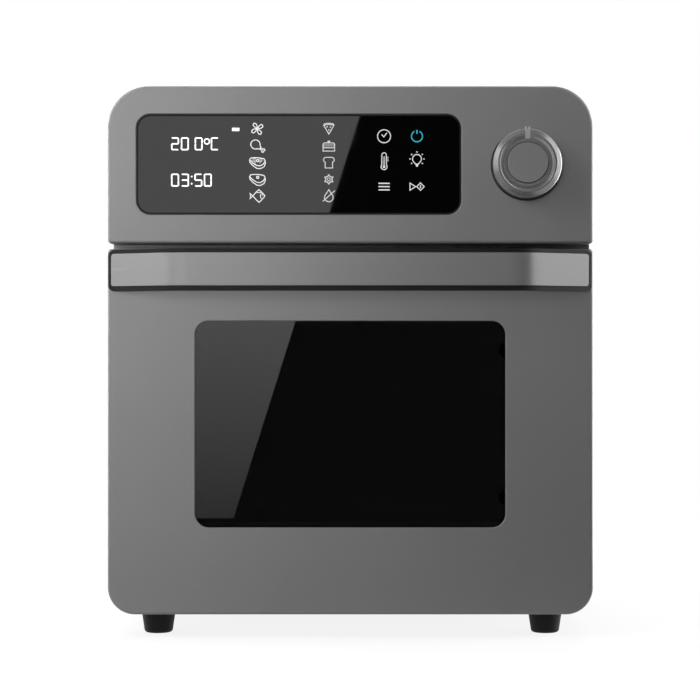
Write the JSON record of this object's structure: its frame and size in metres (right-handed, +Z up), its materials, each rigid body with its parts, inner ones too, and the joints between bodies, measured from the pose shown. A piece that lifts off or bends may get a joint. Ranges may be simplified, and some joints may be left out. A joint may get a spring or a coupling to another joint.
{
  "type": "air fryer oven",
  "caption": "Countertop air fryer oven: boxy cabinet on feet, drop-down glazed door with a full-width bar handle, touch display and a round dial above.",
  "frame": {"origin": "middle of the box's footprint, on the worktop under the feet", "axes": "+X to the user's right, +Y to the back, +Z up; the door opens towards -Y"},
  "size_m": [0.328, 0.34, 0.373],
  "materials": {
    "body_paint": "satin grey paint",
    "display_glass": "gloss",
    "window_glass": "gloss, dark tint",
    "black_plastic": "fine matt grain",
    "white_plastic": "matt",
    "dial_metal": "turned satin",
    "handle_metal": "fine brushed satin",
    "cavity_steel": "satin",
    "zinc_steel": "galvanised, matt",
    "bright_steel": "bright",
    "heater_steel": "oxidised steel sheath",
    "rubber": "matt",
    "silicone": "matt silicone",
    "circuit_board": "satin",
    "clear_glass": "clear",
    "tray_enamel": "dark non-stick coat"
  },
  "bodies": {
    "root": {"outer_cover": "body_paint", "base_panel": "zinc_steel", "rear_panel": "body_paint", "rear_spacers": "black_plastic", "cord_gland": "black_plastic", "m4_screws": "bright_steel", "front_feet": "rubber", "rear_feet": "rubber", "front_frame": "cavity_steel", "cavity_liner": "cavity_steel", "cavity_back": "cavity_steel", "fan_housing": "zinc_steel", "air_grille": "cavity_steel", "rack_guide_left": "cavity_steel", "rack_guide_right": "cavity_steel", "heating_element": "heater_steel", "heat_shield": "zinc_steel", "motor_bracket": "zinc_steel", "fan_motor": "zinc_steel", "rotisserie_motor": "zinc_steel", "spit_bracket": "cavity_steel", "lamp_housing": "zinc_steel", "lamp_bulb": "clear_glass", "lamp_glass": "clear_glass", "temperature_probe": "bright_steel", "thermal_cutout": "white_plastic", "control_fascia": "body_paint", "display_gasket": "black_plastic", "display_glass": "display_glass", "display_module": "white_plastic", "control_board": "circuit_board", "power_board": "circuit_board", "encoder_body": "zinc_steel", "knob_base_ring": "black_plastic", "frame_hinges": "zinc_steel", "door_switch_body": "black_plastic"},
    "fan_rotor": {"motor_shaft": "bright_steel", "convection_impeller": "zinc_steel", "cooling_impeller": "zinc_steel"},
    "spit_drive": {"spit_socket": "bright_steel"},
    "dial": {"encoder_shaft": "bright_steel", "knob_core": "black_plastic", "knob_ring": "dial_metal", "knob_pointer": "dial_metal", "knob_cap": "body_paint"},
    "door": {"door_outer_panel": "body_paint", "door_inner_frame": "zinc_steel", "door_outer_glass": "window_glass", "door_inner_glass": "window_glass", "glass_clamps": "silicone", "door_gasket": "silicone", "door_hinges": "zinc_steel", "door_stay_left": "zinc_steel", "door_stay_right": "zinc_steel", "handle_grip": "black_plastic", "handle_face": "handle_metal", "handle_screws": "bright_steel"},
    "switch_plunger": {"switch_plunger": "white_plastic"},
    "lower_tray": {"drip_tray": "tray_enamel"},
    "middle_tray": {"mesh_tray": "bright_steel"}
  },
  "joints": [
    {"name": "door_hinge", "type": "hinge", "parent": "root", "child": "door", "pos_m": [0, -0.126, 0.027], "axis": [1, 0, 0], "range_deg": [0, 82], "stiffness_Nm_per_rad": 0.5, "springref_deg": -45.84},
    {"name": "dial_turn", "type": "hinge", "parent": "root", "child": "dial", "pos_m": [0.1188, -0.138, 0.3195], "axis": [0, -1, 0], "continuous": true},
    {"name": "fan_spin", "type": "hinge", "parent": "root", "child": "fan_rotor", "pos_m": [0, 0.012, 0.29], "axis": [0, 0, 1], "continuous": true},
    {"name": "spit_spin", "type": "hinge", "parent": "root", "child": "spit_drive", "pos_m": [-0.12, 0.012, 0.15], "axis": [1, 0, 0], "continuous": true},
    {"name": "switch_travel", "type": "slide", "parent": "root", "child": "switch_plunger", "axis": [0, -1, 0], "range_m": [0, 0.0025]},
    {"name": "lower_tray_slide", "type": "slide", "parent": "root", "child": "lower_tray", "axis": [0, -1, 0], "range_m": [0, 0.075]},
    {"name": "middle_tray_slide", "type": "slide", "parent": "root", "child": "middle_tray", "axis": [0, -1, 0], "range_m": [0, 0.14]}
  ],
  "couplings": [
    {"joint": "switch_travel", "follows": "door_hinge", "m_per_rad": 0.0017},
    {"joint": "lower_tray_slide", "follows": "door_hinge", "m_per_rad": 0.05},
    {"joint": "middle_tray_slide", "follows": "door_hinge", "m_per_rad": 0.095}
  ]
}
